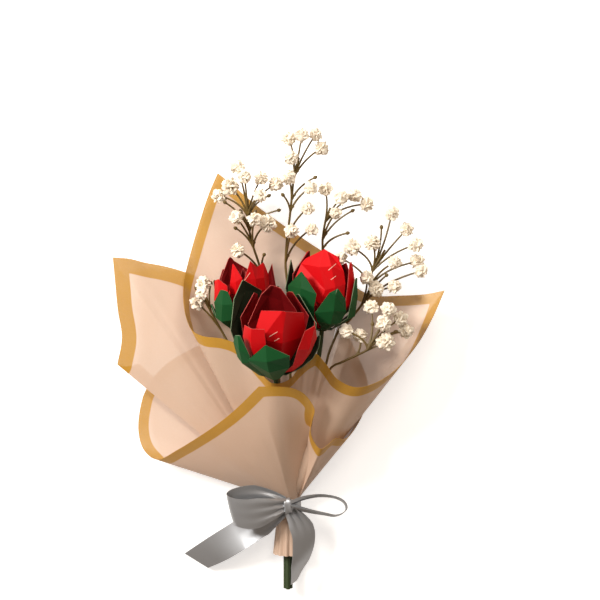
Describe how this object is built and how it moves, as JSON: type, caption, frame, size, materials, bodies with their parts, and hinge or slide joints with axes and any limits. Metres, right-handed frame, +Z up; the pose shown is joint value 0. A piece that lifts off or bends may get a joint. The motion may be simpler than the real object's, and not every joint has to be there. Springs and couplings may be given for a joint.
{
  "type": "paper flower bouquet",
  "caption": "Tied bouquet of folded paper lotus flowers with green sepals and artificial sprigs, in gold-edged translucent film with a satin ribbon bow, lying on its back.",
  "frame": {"origin": "on the floor, on the flat resting patch of the outer wrap's back", "axes": "+Y along the bouquet from the tie to the flowers, +Z up through its front, +X to its right as seen from the front"},
  "size_m": [0.2662, 0.3705, 0.1174],
  "materials": {
    "red_paper": "matt folded paper",
    "green_paper": "matt folded paper",
    "stem_tape": "matt floral tape",
    "sprig_plastic": "moulded plastic stems with foam florets",
    "wrap_film": "frosted translucent film with a gold printed border",
    "grey_satin": "satin ribbon"
  },
  "bodies": {
    "root": {"front_bud_unit_1": "red_paper", "front_bud_unit_2": "red_paper", "front_middle_unit_1": "red_paper", "front_outer_unit_1": "red_paper", "front_outer_unit_2": "red_paper", "front_sepal_unit_1": "green_paper", "front_sepal_unit_2": "green_paper", "front_sepal_unit_3": "green_paper", "left_bud_unit_1": "red_paper", "left_bud_unit_2": "red_paper", "left_middle_unit_1": "red_paper", "left_outer_unit_1": "red_paper", "left_outer_unit_2": "red_paper", "left_sepal_unit_1": "green_paper", "left_sepal_unit_2": "green_paper", "left_sepal_unit_3": "green_paper", "right_bud_unit_1": "red_paper", "right_bud_unit_2": "red_paper", "right_middle_unit_1": "red_paper", "right_outer_unit_1": "red_paper", "right_outer_unit_2": "red_paper", "right_sepal_unit_1": "green_paper", "right_sepal_unit_2": "green_paper", "right_sepal_unit_3": "green_paper", "front_flower_stem": "stem_tape", "left_flower_stem": "stem_tape", "ribbon_bow": "grey_satin", "right_flower_stem": "stem_tape", "sprig_a": "sprig_plastic", "sprig_b": "sprig_plastic", "sprig_c": "sprig_plastic", "sprig_d": "sprig_plastic", "sprig_e": "sprig_plastic", "sprig_f": "sprig_plastic", "wrap_inner": "wrap_film", "wrap_left": "wrap_film", "wrap_outer": "wrap_film"}
  },
  "joints": []
}
